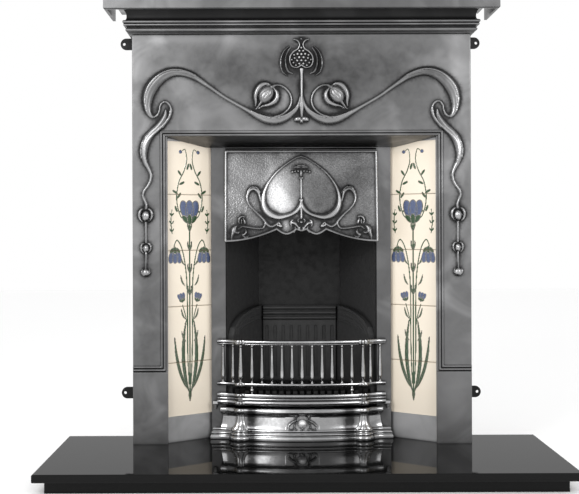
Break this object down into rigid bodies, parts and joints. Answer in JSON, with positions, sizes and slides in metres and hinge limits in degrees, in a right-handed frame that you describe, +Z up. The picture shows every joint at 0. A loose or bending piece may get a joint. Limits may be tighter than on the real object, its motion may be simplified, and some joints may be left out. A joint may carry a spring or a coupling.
{
  "type": "cast iron fireplace",
  "caption": "Cast iron fireplace with mantel shelf, splayed tiled cheeks, hood, lined firebox, bowed grate front, ash cover and stone hearth.",
  "frame": {"origin": "underside of the hearth at the floor, on the centre line, below the front face of the surround", "axes": "+X to the viewer's right, +Y from the front face of the surround back to the wall, +Z up"},
  "size_m": [1.305, 0.7081, 1.264],
  "materials": {
    "burnished_iron": "burnished and waxed, with dark graphite left round the relief",
    "firebox_iron": "matt black, sooty",
    "polished_iron": "bright polished",
    "fixing_steel": "plain steel",
    "granite": "polished black granite",
    "mortar": "cement bed",
    "tile_glaze": "cream glaze with tube-lined flowers"
  },
  "bodies": {
    "fireplace": {"hearth_slab": "granite", "hearth_front_slip": "granite", "hearth_slip_left": "granite", "hearth_slip_right": "granite", "hearth_bed": "mortar", "surround": "burnished_iron", "mantel_shelf": "burnished_iron", "shelf_bolts": "fixing_steel", "lug_top_left": "firebox_iron", "lug_top_right": "firebox_iron", "lug_bottom_left": "firebox_iron", "lug_bottom_right": "firebox_iron", "lug_bolts": "fixing_steel", "tile_frame_left": "burnished_iron", "tile_frame_right": "burnished_iron", "tile_left_1": "tile_glaze", "tile_left_2": "tile_glaze", "tile_left_3": "tile_glaze", "tile_left_4": "tile_glaze", "tile_left_5": "tile_glaze", "tile_right_1": "tile_glaze", "tile_right_2": "tile_glaze", "tile_right_3": "tile_glaze", "tile_right_4": "tile_glaze", "tile_right_5": "tile_glaze", "tile_clamps_left": "fixing_steel", "tile_clamps_right": "fixing_steel", "clamp_screws": "fixing_steel", "frame_bolts": "fixing_steel", "head_panel": "burnished_iron", "head_bolts": "fixing_steel", "fire_frame": "burnished_iron", "canopy_pins": "fixing_steel", "fireback": "firebox_iron", "fireback_bolts": "fixing_steel", "lining_back": "firebox_iron", "lining_left": "firebox_iron", "lining_right": "firebox_iron", "pit_floor": "firebox_iron", "throat_plate": "firebox_iron", "damper_rod": "fixing_steel"},
    "hood": {"canopy": "burnished_iron"},
    "damper": {"damper_flap": "burnished_iron"},
    "fire_basket": {"bottom_grate": "firebox_iron"},
    "front_bars": {"grate_front": "polished_iron", "grate_balusters": "polished_iron", "grate_pins": "fixing_steel"},
    "ash_front": {"ash_cover": "polished_iron", "ash_knob": "polished_iron"},
    "ash_tray": {"ash_pan": "fixing_steel"}
  },
  "joints": [
    {"name": "canopy_lift", "type": "slide", "parent": "fireplace", "child": "hood", "axis": [0, 0, 1], "range_m": [0, 0.007]},
    {"name": "damper_hinge", "type": "hinge", "parent": "fireplace", "child": "damper", "pos_m": [0, 0.28105, 0.8785], "axis": [-1, 0, 0], "range_deg": [0, 75]},
    {"name": "bottom_grate_lift", "type": "slide", "parent": "fireplace", "child": "fire_basket", "axis": [0, 0, 1], "range_m": [0, 0.16]},
    {"name": "grate_front_lift", "type": "slide", "parent": "fireplace", "child": "front_bars", "axis": [0, 0, 1], "range_m": [0, 0.06]},
    {"name": "ash_cover_draw", "type": "slide", "parent": "fireplace", "child": "ash_front", "axis": [0, -1, 0], "range_m": [0, 0.26]},
    {"name": "ash_pan_draw", "type": "slide", "parent": "fireplace", "child": "ash_tray", "axis": [0, -1, 0], "range_m": [0, 0.26]}
  ],
  "couplings": [
    {"joint": "ash_pan_draw", "follows": "ash_cover_draw", "ratio": 1}
  ]
}
